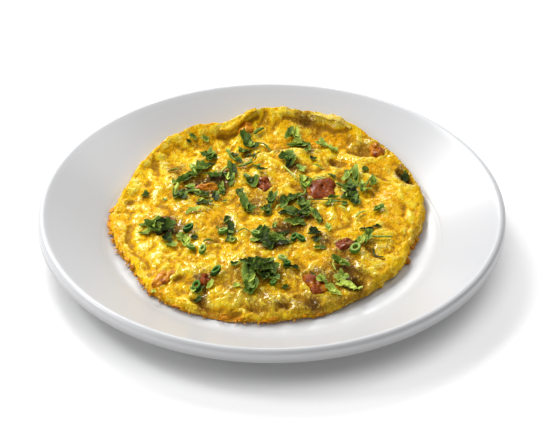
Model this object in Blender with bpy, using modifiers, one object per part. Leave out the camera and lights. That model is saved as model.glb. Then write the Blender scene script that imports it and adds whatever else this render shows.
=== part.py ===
"""An open-faced omelette with pieces of tomato in it, on the round plate that it is served on.

Units are metres, with +Z up. The plate is centred on the origin and stands on Z = 0, and the side
of the omelette that faces the diner is towards -Y. The omelette lies a little off the plate's
centre, so its far edge rests on the slope of the rim. Every piece stops PIECE_GAP short of the next.
"""
import math

import bmesh
import bpy
from mathutils import Vector

MM = 0.001
PIECE_GAP = 0.3 * MM

# Plate: a floor, a rounded well wall, a straight sloping rim and a thick rolled edge.
PLATE_RADIUS = 135.0 * MM
PLATE_HEIGHT = 27.0 * MM
FLOOR_TOP = 5.8 * MM
FLOOR_UNDERSIDE = 2.2 * MM
FLOOR_RADIUS = 85.0 * MM
WELL_RADIUS = 98.8 * MM
WELL_TOP = 10.1 * MM
EDGE_ROUND = 3.0 * MM
EDGE_HEIGHT = 9.0 * MM
RIM_THICKNESS = 5.0 * MM
FOOT_OUTER = 84.0 * MM
FOOT_INNER = 78.0 * MM
FOOT_ROUND = 1.2 * MM
PLATE_STEPS = 64

# Omelette: its centre, its reach every 15 degrees anticlockwise from +X, and its thickness.
EGG_CENTRE = Vector((-1.5 * MM, 13.5 * MM))
EGG_REACH = (90.0, 93.0, 93.5, 95.0, 97.4, 97.8, 98.6, 91.0, 94.4, 93.4, 90.6, 89.2,
             92.4, 91.0, 89.6, 95.4, 96.8, 96.2, 95.0, 93.0, 91.0, 88.7, 88.0, 86.2)
EGG_THICKNESS = 11.5 * MM
EDGE_FALL = 3.0 * MM
EDGE_FALL_START = 0.4

# The side that the cook tipped down comes out thinner: by how much, and which way it faces.
THIN_SIDE_FALL = 3.2 * MM
THIN_SIDE_FACING = math.radians(245)
SIDE_START = 0.955
EGG_SEGMENTS = 64
TOP_RINGS = 13
SIDE_RINGS = 6
UNDER_RINGS = 6

# Swells and hollows in the top: x, y, half length, half width, turn in degrees, rise. All in mm.
SWELLS = (
    (2, 63, 16, 10, 15, 1.6),      # the end of the melted cheese
    (-22, 101, 15, 4, 28, 2.2),    # the lip folded up at the far left
    (36, 98, 16, 4, -20, 1.6),     # the lip at the far right
    (56, 76, 10, 6, 20, -2.2),     # hollow beside the far right edge
    (39, 66, 6, 5, 0, -2.0),
    (79, 50, 8, 3, -60, -2.4),     # notch between two layers at the right
    (70, 25, 22, 13, 95, 1.4),
    (-36, 36, 12, 8, 10, -2.0),    # browned hollow at the left of the middle
    (-64, 50, 18, 10, 60, 1.2),
    (-78, -18, 17, 3, -68, -1.5),  # groove inside the rolled left edge
    (-52, -70, 17, 8, -28, 1.6),
    (-30, -74, 13, 5, -35, -2.4),  # trough along the near edge
    (5, -74, 12, 7, 0, 1.2),
    (62, -36, 10, 9, 60, 1.6),
    (51, -52, 4, 6, 0, -2.4),
    (20, 0, 24, 14, -20, -0.8),
    (-25, -50, 16, 10, 20, -1.0),
)

# Pieces of tomato: x, y, half length, half width, half thickness, turn in degrees, all in mm, and
# how far the middle of the piece lies below the egg's surface.
TOMATOES = {
    "tomato_large": (29.5, 37.0, 12.8, 8.4, 4.0, 84, 2.4),
    "tomato_middle": (-4.5, 40.0, 7.8, 4.6, 3.2, 100, 1.9),
    "tomato_by_fold": (-15.0, 97.0, 6.0, 5.0, 3.2, 80, 1.6),
    "tomato_right": (42.5, -18.5, 6.6, 4.8, 3.2, 40, 1.9),
    "tomato_near": (24.5, -52.5, 10.2, 6.0, 3.4, 112, 1.9),
    "tomato_near_left": (-60.0, -45.5, 9.4, 5.0, 2.6, 58, 1.3),
    "tomato_strip": (-37.8, -50.0, 5.8, 2.9, 2.6, 95, 1.4),
    "tomato_far_right": (63.0, 75.5, 6.4, 4.6, 3.6, 112, 1.8),
    "tomato_browned": (-38.0, 38.5, 9.0, 3.8, 2.8, 4, 1.4),
    "tomato_under_leaf": (-61.0, 4.0, 7.0, 5.0, 3.0, 20, 1.8),
}
TOMATO_SEGMENTS = 10
TOMATO_RINGS = 7


def material(name, colour, roughness):
    """A plain opaque finish."""
    made = bpy.data.materials.new(name)
    made.use_nodes = True
    shader = made.node_tree.nodes["Principled BSDF"]
    shader.inputs["Base Color"].default_value = (*colour, 1.0)
    shader.inputs["Roughness"].default_value = roughness
    shader.inputs["Metallic"].default_value = 0.0
    made.diffuse_color = (*colour, 1.0)
    return made


def add_object(name, mesh, collection, finish=None):
    """One named object, in the collection that it belongs to."""
    made = bpy.data.objects.new(name, mesh)
    collection.objects.link(made)
    if finish:
        mesh.materials.append(finish)
    return made


def arc(centre_r, centre_z, radius, start, end, steps):
    """Points along an arc of a section, with its angles in degrees from the outward direction."""
    points = []
    for step in range(steps + 1):
        angle = math.radians(start + (end - start) * step / steps)
        points.append((centre_r + radius * math.cos(angle), centre_z + radius * math.sin(angle)))
    return points


def well_wall():
    """Radius and final angle of the arc that rises from the plate's floor to its well border."""
    run = WELL_RADIUS - FLOOR_RADIUS
    rise = WELL_TOP - FLOOR_TOP
    angle = 2 * math.atan2(rise, run)
    return run / math.sin(angle), angle


def rim_slope():
    """Angle of the straight line that leaves the well border and touches the edge's upper round."""
    run = PLATE_RADIUS - EDGE_ROUND - WELL_RADIUS
    rise = PLATE_HEIGHT - EDGE_ROUND - WELL_TOP
    return math.atan2(rise, run) + math.asin(EDGE_ROUND / math.hypot(run, rise))


def plate_top(radius):
    """Height of the plate's upper face at a distance from its centre."""
    if radius <= FLOOR_RADIUS:
        return FLOOR_TOP
    if radius <= WELL_RADIUS:
        bend, _ = well_wall()
        return FLOOR_TOP + bend - math.sqrt(bend ** 2 - (radius - FLOOR_RADIUS) ** 2)
    return WELL_TOP + (radius - WELL_RADIUS) * math.tan(rim_slope())


def plate_section():
    """The plate's section, from the middle of its top, over the edge, to the middle underneath."""
    bend, wall_angle = well_wall()
    slope = rim_slope()
    slope_degrees = math.degrees(slope)
    edge_r = PLATE_RADIUS - EDGE_ROUND
    edge_bottom = PLATE_HEIGHT - EDGE_HEIGHT + EDGE_ROUND
    drop = RIM_THICKNESS / math.cos(slope)
    cove_r = edge_r - 5.0 * MM
    base_r = FOOT_OUTER + 5.0 * MM

    points = [(0.0, FLOOR_TOP)]
    points += arc(FLOOR_RADIUS, FLOOR_TOP + bend, bend, -90, -90 + math.degrees(wall_angle), 4)
    points += arc(edge_r, PLATE_HEIGHT - EDGE_ROUND, EDGE_ROUND, 90 + slope_degrees, 0, 4)
    points += arc(edge_r, edge_bottom, EDGE_ROUND, 0, -90, 3)
    points.append((cove_r, plate_top(cove_r) - drop))
    points.append((WELL_RADIUS, WELL_TOP - drop))
    points.append((base_r, FLOOR_UNDERSIDE - 0.1 * MM))
    points += arc(FOOT_OUTER - FOOT_ROUND, FOOT_ROUND, FOOT_ROUND, 0, -90, 2)
    points += arc(FOOT_INNER + FOOT_ROUND, FOOT_ROUND, FOOT_ROUND, -90, -180, 2)
    points.append((FOOT_INNER - FOOT_ROUND, FLOOR_UNDERSIDE))
    points.append((0.0, FLOOR_UNDERSIDE))
    return points


def build_plate(collection):
    """The plate: its section turned about +Z by a Screw modifier."""
    mesh = bpy.data.meshes.new("plate")
    section = bmesh.new()
    verts = [section.verts.new((r, 0.0, z)) for r, z in plate_section()]
    for first, second in zip(verts, verts[1:]):
        section.edges.new((first, second))
    section.to_mesh(mesh)
    section.free()

    glaze = material("white_glaze", (0.86, 0.86, 0.85), 0.12)
    plate = add_object("plate", mesh, collection, glaze)
    turn = plate.modifiers.new("Turn", "SCREW")
    turn.axis = "Z"
    turn.steps = PLATE_STEPS
    turn.render_steps = PLATE_STEPS
    turn.use_merge_vertices = True
    turn.merge_threshold = 0.00001
    turn.use_smooth_shade = True
    return plate


def egg_reach(angle):
    """How far the omelette's outline is from its centre, by a smooth closed curve."""
    count = len(EGG_REACH)
    place = (math.degrees(angle) % 360.0) / 360.0 * count
    index = int(place)
    part = place - index
    before, start, end, after = [EGG_REACH[(index + shift) % count] for shift in (-1, 0, 1, 2)]
    slope_start = (end - before) / 2
    slope_end = (after - start) / 2
    value = start + (end - start) * part ** 2 * (3 - 2 * part)
    value += slope_start * part * (1 - part) ** 2 - slope_end * part ** 2 * (1 - part)
    return value * MM


def swell_rise(x, y):
    """Rise or fall of the top from all the swells and hollows at a point, in metres."""
    total = 0.0
    for swell_x, swell_y, half_length, half_width, turn, rise in SWELLS:
        across_x = x / MM - swell_x
        across_y = y / MM - swell_y
        cos_turn = math.cos(math.radians(turn))
        sin_turn = math.sin(math.radians(turn))
        along = (across_x * cos_turn + across_y * sin_turn) / half_length
        across = (across_y * cos_turn - across_x * sin_turn) / half_width
        total += rise * math.exp(-along ** 2 - across ** 2)
    return total * MM


def egg_thickness(x, y):
    """Thickness of the omelette, which falls off towards its edge."""
    offset = Vector((x, y)) - EGG_CENTRE
    reach = offset.length / egg_reach(math.atan2(offset.y, offset.x))
    edge = min(max((reach - EDGE_FALL_START) / (1 - EDGE_FALL_START), 0.0), 1.0)
    thin_side = 0.5 + 0.5 * math.cos(math.atan2(offset.y, offset.x) - THIN_SIDE_FACING)
    fall = EDGE_FALL + THIN_SIDE_FALL * thin_side
    return EGG_THICKNESS - fall * edge ** 1.5 + swell_rise(x, y)


def egg_top(x, y):
    """Height of the omelette's top."""
    return plate_top(math.hypot(x, y)) + PIECE_GAP + egg_thickness(x, y)


def egg_section(ring):
    """Reach and level of a ring, from the top pole (ring 0), round the side, to the under pole."""
    if ring <= TOP_RINGS:
        return SIDE_START * ring / TOP_RINGS, 1.0
    if ring <= TOP_RINGS + SIDE_RINGS:
        turn = math.pi * (ring - TOP_RINGS) / SIDE_RINGS
        reach = SIDE_START + (1 - SIDE_START) * math.sin(turn) ** 0.7
        level = 0.5 + 0.5 * math.copysign(abs(math.cos(turn)) ** 0.8, math.cos(turn))
        return reach, level
    left = (TOP_RINGS + SIDE_RINGS + UNDER_RINGS - ring) / UNDER_RINGS
    return SIDE_START * math.sin(left * math.pi / 2), 0.0


def build_omelette(collection, cutters):
    """The omelette: a sphere's rings laid out as its top, side and underside, with the pockets cut."""
    rings = TOP_RINGS + SIDE_RINGS + UNDER_RINGS
    shape = bmesh.new()
    bmesh.ops.create_uvsphere(shape, u_segments=EGG_SEGMENTS, v_segments=rings, radius=1.0)
    for vert in shape.verts:
        ring = round(math.acos(max(-1.0, min(1.0, vert.co.z))) / math.pi * rings)
        angle = math.atan2(vert.co.y, vert.co.x)
        reach, level = egg_section(ring)
        distance = reach * egg_reach(angle)
        x = EGG_CENTRE.x + distance * math.cos(angle)
        y = EGG_CENTRE.y + distance * math.sin(angle)
        underside = plate_top(math.hypot(x, y)) + PIECE_GAP
        vert.co = (x, y, underside + level * egg_thickness(x, y))
    mesh = bpy.data.meshes.new("omelette")
    shape.to_mesh(mesh)
    shape.free()
    mesh.shade_smooth()

    egg = material("egg", (0.86, 0.55, 0.03), 0.35)
    omelette = add_object("omelette", mesh, collection, egg)
    pockets = omelette.modifiers.new("Pockets", "BOOLEAN")
    pockets.operation = "DIFFERENCE"
    pockets.operand_type = "COLLECTION"
    pockets.collection = cutters
    pockets.solver = "EXACT"
    return omelette


def chunk_mesh(name, half_length, half_width, half_thickness):
    """A soft-cornered chunk: a sphere squared off a little and pulled in on one side."""
    shape = bmesh.new()
    bmesh.ops.create_uvsphere(
        shape, u_segments=TOMATO_SEGMENTS, v_segments=TOMATO_RINGS, radius=1.0)
    for vert in shape.verts:
        angle = math.atan2(vert.co.y, vert.co.x)
        pull = 1.0 - 0.10 * math.cos(angle) + 0.05 * math.cos(3 * angle + half_length / MM)
        square = 1.0 / max(abs(vert.co.x) ** 3 + abs(vert.co.y) ** 3 + abs(vert.co.z) ** 3, 0.5) ** 0.2
        vert.co.x *= half_length * pull * square
        vert.co.y *= half_width * pull * square
        vert.co.z *= half_thickness * square
    mesh = bpy.data.meshes.new(name)
    shape.to_mesh(mesh)
    shape.free()
    mesh.shade_smooth()
    return mesh


def build_tomatoes(collection, cutters):
    """Each piece of tomato, sunk in the egg, and the cutter of the pocket that it lies in."""
    for name, (x, y, half_length, half_width, half_thickness, turn, sunk) in TOMATOES.items():
        height = egg_top(x * MM, y * MM) - sunk * MM
        sizes = (half_length * MM, half_width * MM, half_thickness * MM)
        tomato = material(name + "_flesh", (0.30, 0.07, 0.02), 0.3)
        piece = add_object(name, chunk_mesh(name, *sizes), collection, tomato)
        grown = [size + 1.2 * PIECE_GAP for size in sizes]
        cutter = add_object(name + "_pocket", chunk_mesh(name + "_pocket", *grown), cutters)
        for placed in (piece, cutter):
            placed.location = (x * MM, y * MM, height)
            placed.rotation_euler = (0.0, 0.0, math.radians(turn))
        cutter.hide_render = True
        cutter.display_type = "WIRE"


def new_collection(name):
    made = bpy.data.collections.new(name)
    bpy.context.scene.collection.children.link(made)
    return made


def main():
    for old in list(bpy.data.objects):
        bpy.data.objects.remove(old, do_unlink=True)
    parts = new_collection("open_faced_omelette")
    cutters = new_collection("cutters")
    build_plate(parts)
    build_tomatoes(parts, cutters)
    build_omelette(parts, cutters)


main()
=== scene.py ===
"""An open-faced omelette with tomato and chopped parsley, on the round white plate it is served on."""
import math

import bmesh
import bpy
import numpy as np
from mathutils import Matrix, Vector


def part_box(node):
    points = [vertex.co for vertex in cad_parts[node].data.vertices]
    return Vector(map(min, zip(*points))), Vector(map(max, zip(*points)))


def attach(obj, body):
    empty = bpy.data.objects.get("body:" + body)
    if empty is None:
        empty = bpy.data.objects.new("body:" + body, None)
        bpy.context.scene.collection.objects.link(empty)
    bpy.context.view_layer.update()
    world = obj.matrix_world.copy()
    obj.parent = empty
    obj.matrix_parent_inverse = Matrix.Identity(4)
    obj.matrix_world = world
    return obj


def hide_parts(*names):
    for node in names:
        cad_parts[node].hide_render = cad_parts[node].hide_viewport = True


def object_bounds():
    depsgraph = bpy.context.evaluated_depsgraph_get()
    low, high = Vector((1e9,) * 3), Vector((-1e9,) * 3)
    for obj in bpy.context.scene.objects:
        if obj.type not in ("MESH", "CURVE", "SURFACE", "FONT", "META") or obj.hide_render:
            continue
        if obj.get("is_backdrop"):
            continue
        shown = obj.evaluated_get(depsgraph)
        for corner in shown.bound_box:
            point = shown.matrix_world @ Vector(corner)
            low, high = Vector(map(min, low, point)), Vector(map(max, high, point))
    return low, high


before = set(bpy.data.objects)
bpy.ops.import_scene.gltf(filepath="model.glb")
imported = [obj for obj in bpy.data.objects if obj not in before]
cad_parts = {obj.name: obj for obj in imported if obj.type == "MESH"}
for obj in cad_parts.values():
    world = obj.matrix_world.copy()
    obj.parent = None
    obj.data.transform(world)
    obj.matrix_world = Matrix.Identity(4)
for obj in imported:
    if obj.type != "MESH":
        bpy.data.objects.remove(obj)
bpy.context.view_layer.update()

MM = 0.001

# ---------------------------------------------------------------------------------------------
# The plate: thick white porcelain, turned, with a glossy fired glaze. Its section is turned about
# +Z as the solid's is, but in fine steps and with a softened well border, so it shines smoothly.
# ---------------------------------------------------------------------------------------------
PLATE_LOW, PLATE_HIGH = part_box("plate")
PLATE_RADIUS = PLATE_HIGH.x / MM
PLATE_HEIGHT = PLATE_HIGH.z / MM
FLOOR_TOP = 5.8
FLOOR_UNDERSIDE = 2.2
FLOOR_RADIUS = 85.0
WELL_RADIUS = 98.8
WELL_TOP = 10.1
EDGE_ROUND = 3.0
EDGE_HEIGHT = 9.0
RIM_THICKNESS = 5.0
FOOT_OUTER = 84.0
FOOT_INNER = 78.0
FOOT_ROUND = 1.2
PLATE_STEPS = 256

WALL_RUN = WELL_RADIUS - FLOOR_RADIUS
WALL_ANGLE = 2 * math.atan2(WELL_TOP - FLOOR_TOP, WALL_RUN)
WALL_BEND = WALL_RUN / math.sin(WALL_ANGLE)
RIM_RUN = PLATE_RADIUS - EDGE_ROUND - WELL_RADIUS
RIM_RISE = PLATE_HEIGHT - EDGE_ROUND - WELL_TOP
RIM_SLOPE = math.atan2(RIM_RISE, RIM_RUN) + math.asin(EDGE_ROUND / math.hypot(RIM_RUN, RIM_RISE))


def plate_top(radius):
    """Height of the plate's upper face, in mm, at distances from its centre."""
    inside = np.clip(radius - FLOOR_RADIUS, 0.0, WALL_RUN)
    wall = FLOOR_TOP + WALL_BEND - np.sqrt(WALL_BEND ** 2 - inside ** 2)
    return wall + np.maximum(radius - WELL_RADIUS, 0.0) * math.tan(RIM_SLOPE)


def arc(centre_r, centre_z, radius, start, end, steps):
    """Points along an arc of a section, with its angles in degrees from the outward direction."""
    turns = np.radians(np.linspace(start, end, steps + 1))
    return [(centre_r + radius * math.cos(a), centre_z + radius * math.sin(a)) for a in turns]


def plate_section():
    """The section, from the middle of the top, over the edge, to the middle underneath, in mm."""
    slope = math.degrees(RIM_SLOPE)
    wall = math.degrees(WALL_ANGLE)
    edge_r = PLATE_RADIUS - EDGE_ROUND
    drop = RIM_THICKNESS / math.cos(RIM_SLOPE)
    cove_r = edge_r - 5.0
    points = [(0.0, FLOOR_TOP), (40.0, FLOOR_TOP), (70.0, FLOOR_TOP)]
    points += arc(FLOOR_RADIUS, FLOOR_TOP + WALL_BEND, WALL_BEND, -90, -90 + wall, 14)[:-1]
    border = [WELL_RADIUS + step for step in (-0.8, -0.4, 0.0, 0.5, 1.0, 2.0)]
    points += [(r, float(plate_top(r)) - 0.04 * math.exp(-(r - WELL_RADIUS) ** 2)) for r in border]
    points += [(r, float(plate_top(r))) for r in np.linspace(WELL_RADIUS + 5, edge_r - 4, 8)]
    points += arc(edge_r, PLATE_HEIGHT - EDGE_ROUND, EDGE_ROUND, 90 + slope, 0, 12)
    points += arc(edge_r, PLATE_HEIGHT - EDGE_HEIGHT + EDGE_ROUND, EDGE_ROUND, 0, -90, 8)
    points += arc(cove_r + 1.5, float(plate_top(cove_r)) - drop - 0.9, 1.0, 60, 90 + slope, 4)
    points += [(r, float(plate_top(r)) - drop) for r in np.linspace(cove_r - 3, WELL_RADIUS, 6)]
    points += [(FOOT_OUTER + 9.0, 3.0), (FOOT_OUTER + 5.0, 2.3), (FOOT_OUTER + 1.5, 2.0)]
    points += arc(FOOT_OUTER - FOOT_ROUND, FOOT_ROUND, FOOT_ROUND, 0, -90, 4)
    points += arc(FOOT_INNER + FOOT_ROUND, FOOT_ROUND, FOOT_ROUND, -90, -180, 4)
    points += [(FOOT_INNER - 0.8, FLOOR_UNDERSIDE - 0.2), (FOOT_INNER - 2.0, FLOOR_UNDERSIDE)]
    points.append((0.0, FLOOR_UNDERSIDE))
    return points


class Wire:
    """A node's output, so that shader maths reads as an ordinary expression."""

    def __init__(self, finish, socket):
        self.finish = finish
        self.socket = socket

    def maths(self, operation, *values):
        return self.finish.node("ShaderNodeMath", {"operation": operation}, dict(enumerate(values)))

    def __add__(self, other):
        return self.maths("ADD", self, other)

    def __sub__(self, other):
        return self.maths("SUBTRACT", self, other)

    def __rsub__(self, other):
        return self.maths("SUBTRACT", other, self)

    def __mul__(self, other):
        return self.maths("MULTIPLY", self, other)

    def __pow__(self, other):
        return self.maths("POWER", self, other)

    __radd__ = __add__
    __rmul__ = __mul__

    def ramp(self, low, high):
        """0 below low and 1 above high, and smooth between them."""
        settings = {"interpolation_type": "SMOOTHSTEP"}
        values = {0: self, 1: low, 2: high}
        return self.finish.node("ShaderNodeMapRange", settings, values)


class Finish:
    """One material. node() adds every node, and surface() sets the shader's own sockets."""

    def __init__(self, name):
        self.material = bpy.data.materials.new(name)
        self.material.use_nodes = True
        self.tree = self.material.node_tree
        self.shader = self.tree.nodes["Principled BSDF"]

    def node(self, kind, settings=None, values=None, output=0):
        made = self.tree.nodes.new(kind)
        for name, value in (settings or {}).items():
            setattr(made, name, value)
        for key, value in (values or {}).items():
            self.join(made.inputs[key], value)
        return Wire(self, made.outputs[output])

    def join(self, socket, value):
        if isinstance(value, Wire):
            self.tree.links.new(value.socket, socket)
        else:
            socket.default_value = value

    def place(self):
        """Coordinates in the piece's own space, in metres."""
        return self.node("ShaderNodeTexCoord", output=3)

    def noise(self, size, detail=2.0, roughness=0.5, long=1.0):
        """Soft random variation from 0 to 1, with features about size mm wide, and long as stated."""
        stretched = self.node("ShaderNodeVectorMath", {"operation": "MULTIPLY"},
                              {0: self.place(), 1: (1.0, 1.0 / long, 1.0)})
        values = {"Vector": stretched, "Scale": 1 / (size * MM), "Detail": detail,
                  "Roughness": roughness}
        return self.node("ShaderNodeTexNoise", None, values)

    def mix(self, share, first, second):
        """A colour between two, each given as a wire or as red, green and blue."""
        colours = [c if isinstance(c, Wire) else (*c, 1.0) for c in (first, second)]
        values = {0: share, 6: colours[0], 7: colours[1]}
        return self.node("ShaderNodeMix", {"data_type": "RGBA"}, values, output=2)

    def attribute(self, name):
        return self.node("ShaderNodeAttribute", {"attribute_name": name}, output=2)

    def bump(self, height, distance, strength=1.0, normal=None):
        """A surface normal tilted by a height from 0 to 1, whose full rise is distance in mm."""
        values = {"Height": height, "Distance": distance * MM, "Strength": strength}
        if normal:
            values["Normal"] = normal
        return self.node("ShaderNodeBump", None, values)

    def surface(self, **values):
        for name, value in values.items():
            key = name.replace("_", " ").title().replace("Ior", "IOR")
            if not isinstance(value, (Wire, float, int)) and len(value) == 3 and "Color" in key:
                value = (*value, 1.0)
            self.join(self.shader.inputs[key], value)
        return self.material


def add_piece(name, mesh, finish, body="root"):
    """A piece of the object, with its material, riding on the body that the solids ride on."""
    made = bpy.data.objects.new(name, mesh)
    bpy.context.scene.collection.objects.link(made)
    mesh.materials.append(finish)
    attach(made, body)
    return made


def turned_mesh(name, section, steps):
    """A section turned about +Z, with one vertex at each end, where it meets the axis."""
    turns = np.arange(steps) * 2 * math.pi / steps
    verts = [(0.0, 0.0, section[0][1] * MM)]
    for r, z in section[1:-1]:
        verts += [(r * MM * math.cos(a), r * MM * math.sin(a), z * MM) for a in turns]
    verts.append((0.0, 0.0, section[-1][1] * MM))
    faces = [(0, 1 + i, 1 + (i + 1) % steps) for i in range(steps)]
    for ring in range(len(section) - 3):
        start = 1 + ring * steps
        for i in range(steps):
            j = (i + 1) % steps
            faces.append((start + i, start + steps + i, start + steps + j, start + j))
    start = 1 + (len(section) - 3) * steps
    faces += [(len(verts) - 1, start + (i + 1) % steps, start + i) for i in range(steps)]
    mesh = bpy.data.meshes.new(name)
    mesh.from_pydata(verts, [], faces)
    mesh.shade_smooth()
    return mesh


def glaze_finish():
    """White glaze: whitest in the well, and dark grey low on the outer wall, where shade is painted."""
    glaze = Finish("white_glaze")
    radius = glaze.node("ShaderNodeVectorMath", {"operation": "LENGTH"}, {0: glaze.place()}, output=1)
    height = glaze.node("ShaderNodeSeparateXYZ", None, {0: glaze.place()}, output=2)
    # Painted shade: the glaze turns dark grey, and a little rougher, low on the outer wall of the rim.
    painted_wall_shade = radius.ramp(0.128, 0.133) * (1.0 - height.ramp(0.015, 0.0265))
    colour = glaze.mix(radius.ramp(0.09, 0.12), (0.67, 0.675, 0.68), (0.665, 0.67, 0.685))
    return glaze.surface(
        base_color=glaze.mix(painted_wall_shade, colour, (0.22, 0.215, 0.21)),
        roughness=0.27 + 0.1 * painted_wall_shade,
        ior=1.45,
    )


plate = add_piece("plate_glazed", turned_mesh("plate_glazed", plate_section(), PLATE_STEPS),
                  glaze_finish())
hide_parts("plate")

# ---------------------------------------------------------------------------------------------
# The omelette: beaten egg with melted cheese, set in a round pan and slid out flat. It is one
# closed mesh: a top laid on nearly square cells, a rounded side and an underside on the plate.
# ---------------------------------------------------------------------------------------------
GAP = 0.3
EGG_CENTRE = (-1.5, 13.5)
EGG_REACH = (90.0, 93.0, 93.5, 95.0, 97.4, 97.8, 98.6, 91.0, 94.4, 93.4, 90.6, 89.2,
             92.4, 91.0, 89.6, 95.4, 96.8, 96.2, 95.0, 93.0, 91.0, 88.7, 88.0, 86.2)
EGG_THICKNESS = 11.5
EDGE_FALL = 3.0
EDGE_FALL_START = 0.4
THIN_SIDE_FALL = 3.2
THIN_SIDE_FACING = math.radians(245)
SIDE_START = 0.955
SIDE_BULGE = 0.32
REAR_BROW = 0.022
EGG_CELLS = 260
SIDE_RINGS = 16
UNDER_REACHES = (0.85, 0.7, 0.4)

# Swells and hollows of the top, in mm: x, y, half length, half width, turn in degrees, rise.
SWELLS = (
    (2, 63, 16, 10, 15, 1.6),
    (-22, 101, 15, 4, 28, 2.2),
    (36, 98, 16, 4, -20, 1.6),
    (56, 76, 10, 6, 20, -1.0),
    (29.5, 37, 14, 10, 84, -1.4),
    (24.5, -52.5, 11, 7, 112, -0.8),
    (-60, -45.5, 12, 8, 58, 1.3),
    (39, 66, 6, 5, 0, -2.0),
    (79, 50, 8, 3, -60, -2.4),
    (70, 25, 22, 13, 95, 1.4),
    (-36, 36, 12, 8, 10, -2.0),
    (-64, 50, 18, 10, 60, 1.2),
    (-78, -18, 17, 3, -68, -0.5),
    (0, -68, 8, 6, 20, 1.5),
    (17, -76, 7, 5, -10, 1.5),
    (-14, -66, 7, 5, 30, 1.2),
    (26, -64, 6, 5, 0, 1.0),
    (8, -60, 7, 4, 10, -1.6),
    (-7, -76, 6, 4, 0, -1.4),
    (31, -72, 8, 5, 20, -1.2),
    (-52, -70, 17, 8, -28, 1.6),
    (-30, -74, 13, 5, -35, -2.4),
    (5, -74, 12, 7, 0, 1.2),
    (62, -36, 10, 9, 60, 1.6),
    (51, -52, 4, 6, 0, -2.4),
    (20, 0, 24, 14, -20, -0.8),
    (-25, -50, 16, 10, 20, -1.0),
)

# Where the tomato is set in it, in mm: x, y, half length, half width, half thickness, turn.
TOMATO_PLACES = {
    "tomato_large": (29.5, 37.0, 12.8, 8.4, 4.0, 84),
    "tomato_middle": (-4.5, 40.0, 7.8, 4.6, 3.2, 100),
    "tomato_by_fold": (-15.0, 97.0, 6.0, 5.0, 3.2, 80),
    "tomato_right": (42.5, -18.5, 6.6, 4.8, 3.2, 40),
    "tomato_near": (24.5, -52.5, 10.2, 6.0, 3.4, 112),
    "tomato_near_left": (-60.0, -45.5, 9.4, 5.0, 2.6, 58),
    "tomato_strip": (-37.8, -50.0, 5.8, 2.9, 2.6, 95),
    "tomato_far_right": (63.0, 75.5, 6.4, 4.6, 3.6, 112),
    "tomato_browned": (-38.0, 38.5, 9.0, 3.8, 2.8, 4),
    "tomato_under_leaf": (-61.0, 4.0, 7.0, 5.0, 3.0, 20),
}

# Creases where the egg folded as it set: the points it runs through, its width and depth, and how
# much higher the egg is on the left of it than on the right, going along. All in mm.
CREASES = (
    (((-83, 3), (-84, -6), (-82, -14), (-78, -22), (-73, -31), (-69, -36)), 0.8, 0.6, -0.3),
    (((-13, 69), (-7, 72.5), (0, 75), (8, 77.5), (16, 79), (25, 79)), 1.2, 1.3, -1.3),
    (((-32, 91), (-26, 91.5), (-21, 93), (-17, 97), (-12.5, 101.5), (-9, 104.5)), 1.2, 1.8, 0.8),
    (((8, 104), (16, 103), (24, 99.5), (31, 96), (38, 93.5), (46, 93)), 1.7, 1.5, 0.6),
    (((46, 76), (52, 73), (58, 71.5), (65, 70)), 1.6, 1.6, -0.8),
    (((60, 52), (67, 48), (73, 46), (80, 43)), 1.4, 1.5, -1.2),
    (((76, 57), (79, 51), (83, 45)), 1.8, 2.6, 0.0),
    (((78, 23), (77, 12), (78.5, 3), (79, -8)), 0.9, 0.8, 0.2),
    (((52, -42), (57, -45), (61, -48.5), (65, -52)), 1.1, 1.3, 1.2),
    (((-43, -66), (-37, -72), (-31, -77), (-25, -79), (-19, -77)), 2.2, 2.6, 0.4),
    (((-22, -74), (-16, -72), (-11, -75)), 1.0, 1.2, 0.0),
    (((55, -19), (59, -26), (64, -30)), 1.2, 1.8, 0.0),
    (((-66, -52.5), (-59, -51), (-51, -47)), 1.0, 1.2, 0.6),
    (((14, -64), (21, -68), (25, -74)), 2.2, 1.8, 0.0),
)

# Small pits, in mm: x, y, radius, depth.
PITS = (
    (37, 67, 2.6, 2.0), (42, 64, 2.4, 2.0), (48, 61, 2.0, 1.2), (49, -50, 3.2, 4.4),
    (54, 79, 2.4, 1.2), (58, 75, 2.0, 1.0), (12, 57, 4.0, 1.6), (5, -73, 1.6, 1.8), (9, -72.5, 1.6, 1.8),
    (3, -76, 1.2, 1.2), (-82, 27, 2.0, 1.4), (-45, 74, 1.4, 1.0), (-31, -15, 2.0, 1.6),
    (41, 47, 3.6, 2.0), (13, 39, 2.0, 1.2), (-12, 66, 1.6, 0.8), (12, -7, 6.0, 0.8),
    (22, 101, 4.0, 1.2), (-48, -1, 3.0, 0.8), (30, -50, 3.0, 1.2),
)


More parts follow.
